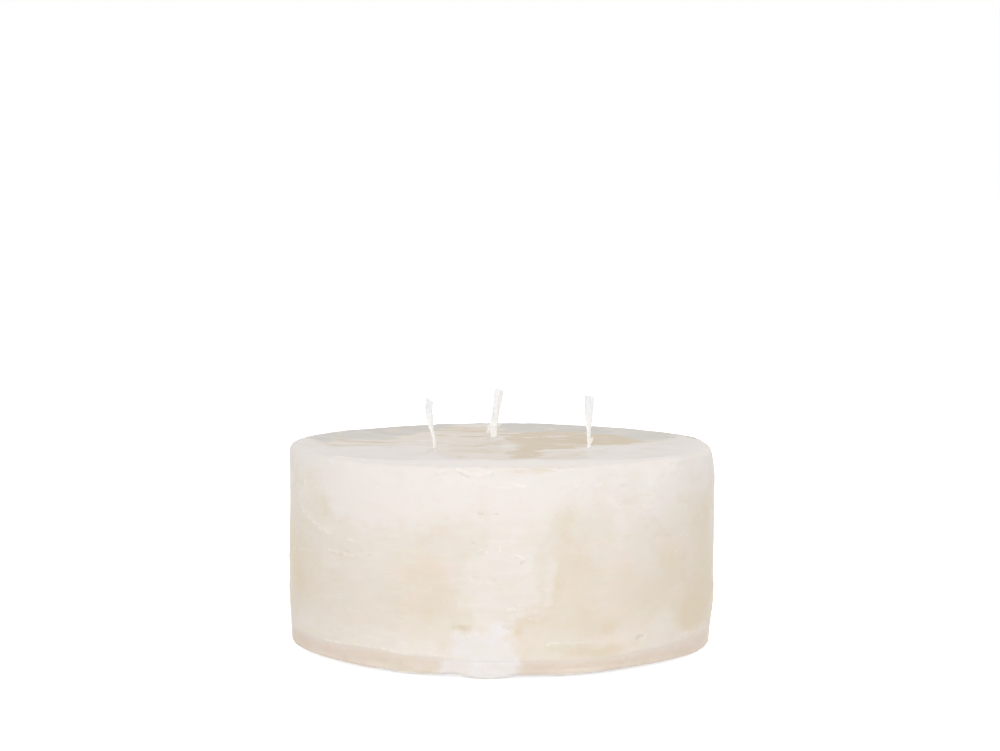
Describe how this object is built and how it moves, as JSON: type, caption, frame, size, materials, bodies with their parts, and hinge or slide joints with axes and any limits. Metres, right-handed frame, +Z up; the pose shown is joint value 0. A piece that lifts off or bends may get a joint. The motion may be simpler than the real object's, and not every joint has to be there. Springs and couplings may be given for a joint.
{
  "type": "pillar candle",
  "caption": "Wide, low pillar candle of mottled cream wax: cast body on a poured foot, with waxed cotton wicks, their wax seals and steel sustainers.",
  "frame": {"origin": "middle of the foot's flat underside, on the surface that the candle stands on", "axes": "+Z up along the candle's own axis, -Y towards the front as pictured, +X to the right"},
  "size_m": [0.15, 0.15, 0.0873],
  "materials": {
    "body_wax": "frosted, mottled wax with a soft satin shine",
    "foot_wax": "clearer, slightly pinker wax with a satin shine",
    "seal_wax": "smooth remelted wax, satin",
    "wick_cotton": "flat cotton braid, primed with wax",
    "tinned_steel": "tin-plated sheet, satin"
  },
  "bodies": {
    "root": {"wax_body": "body_wax", "foot_pour": "foot_wax", "wick_left": "wick_cotton", "wick_rear": "wick_cotton", "wick_right": "wick_cotton", "wick_seal_left": "seal_wax", "wick_seal_rear": "seal_wax", "wick_seal_right": "seal_wax", "sustainer_left": "tinned_steel", "sustainer_rear": "tinned_steel", "sustainer_right": "tinned_steel"}
  },
  "joints": []
}
